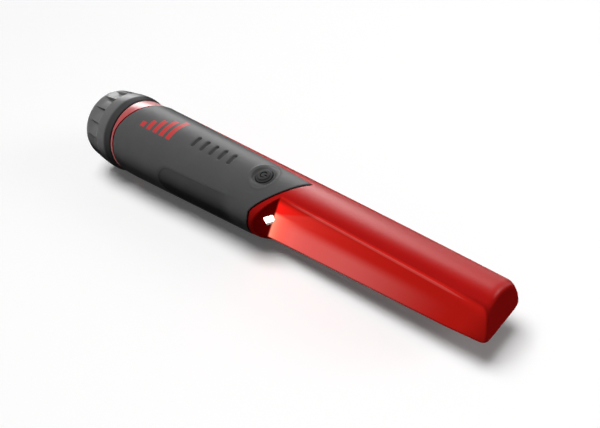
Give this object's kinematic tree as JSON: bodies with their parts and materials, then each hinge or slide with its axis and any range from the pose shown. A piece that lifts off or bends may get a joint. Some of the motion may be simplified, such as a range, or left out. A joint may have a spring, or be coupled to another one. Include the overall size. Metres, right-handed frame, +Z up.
{
  "type": "pinpointer probe",
  "caption": "Hand-held pinpointer probe: tapered tube with rubber grip, screw-off battery cap, push button, and a lamp scoop beside a flat-sided blunt detecting tip.",
  "frame": {"origin": "under the middle of the part's box, on the plane of the grip's flat belly", "axes": "+X along the probe towards the detecting tip, +Z up through the button, the lamp on the -Y side"},
  "size_m": [0.236, 0.0396, 0.0398],
  "materials": {
    "red_housing": "deep red satin-gloss moulding",
    "grip_rubber": "matte black soft-touch rubber",
    "red_collar": "red anodised, satin turned",
    "cap_plastic": "dark grey fine-textured moulding",
    "button_plastic": "dark grey satin moulding",
    "seal_rubber": "smooth black rubber",
    "foam": "dark closed-cell foam",
    "inner_plastic": "dark moulded nylon",
    "cell_jacket": "printed cell jacket, plain",
    "spring_steel": "bright spring steel",
    "contact_metal": "gold-plated contact",
    "circuit_board": "green solder mask",
    "chip_plastic": "black moulding compound",
    "motor_can": "drawn steel can",
    "clear_window": "clear polished plastic",
    "light_chip": "white light chip",
    "bobbin_plastic": "natural moulded nylon",
    "ferrite": "sintered ferrite",
    "copper_wire": "enamelled copper winding",
    "lead_insulation": "red wire insulation"
  },
  "bodies": {
    "housing": {"probe_body": "red_housing", "grip_sleeve": "grip_rubber", "collar_ring": "red_collar", "collar_gasket": "seal_rubber", "battery_holder": "inner_plastic", "cell_left": "cell_jacket", "cell_right": "cell_jacket", "holder_springs": "spring_steel", "holder_contacts": "contact_metal", "contact_pins": "contact_metal", "chassis": "inner_plastic", "main_board": "circuit_board", "board_chips": "chip_plastic", "board_screws": "spring_steel", "switch_body": "chip_plastic", "button_seal": "seal_rubber", "buzzer": "chip_plastic", "motor_body": "motor_can", "led_window": "clear_window", "led_emitter": "light_chip", "led_board": "circuit_board", "coil_bobbin": "bobbin_plastic", "ferrite_rod": "ferrite", "drive_winding": "copper_wire", "sense_winding": "copper_wire", "coil_shield": "contact_metal", "coil_leads": "lead_insulation", "tip_pad": "foam"},
    "cap_slider": {"cap_seal": "seal_rubber"},
    "screw_cap": {"battery_cap": "cap_plastic", "cap_pad": "foam"},
    "push_button": {"power_button": "button_plastic"},
    "switch_stem": {"switch_plunger": "bobbin_plastic"},
    "motor_rotor": {"motor_weight": "motor_can"}
  },
  "joints": [
    {"name": "button_press", "type": "slide", "parent": "housing", "child": "push_button", "axis": [0, 0, -1], "range_m": [0, 0.0006], "stiffness_N_per_m": 1500},
    {"name": "switch_press", "type": "slide", "parent": "housing", "child": "switch_stem", "axis": [0, 0, -1], "range_m": [0, 0.0006]},
    {"name": "cap_travel", "type": "slide", "parent": "housing", "child": "cap_slider", "axis": [-1, 0, 0], "range_m": [0, 0.0091]},
    {"name": "cap_turn", "type": "hinge", "parent": "cap_slider", "child": "screw_cap", "pos_m": [-0.0955, 0, 0.02], "axis": [-1, 0, 0], "range_deg": [0, 1080]},
    {"name": "motor_spin", "type": "hinge", "parent": "housing", "child": "motor_rotor", "pos_m": [-0.0065, 0.0052, 0.0185], "axis": [1, 0, 0], "continuous": true}
  ],
  "couplings": [
    {"joint": "switch_press", "follows": "button_press", "ratio": 1},
    {"joint": "cap_travel", "follows": "cap_turn", "m_per_rad": 0.00047746}
  ]
}
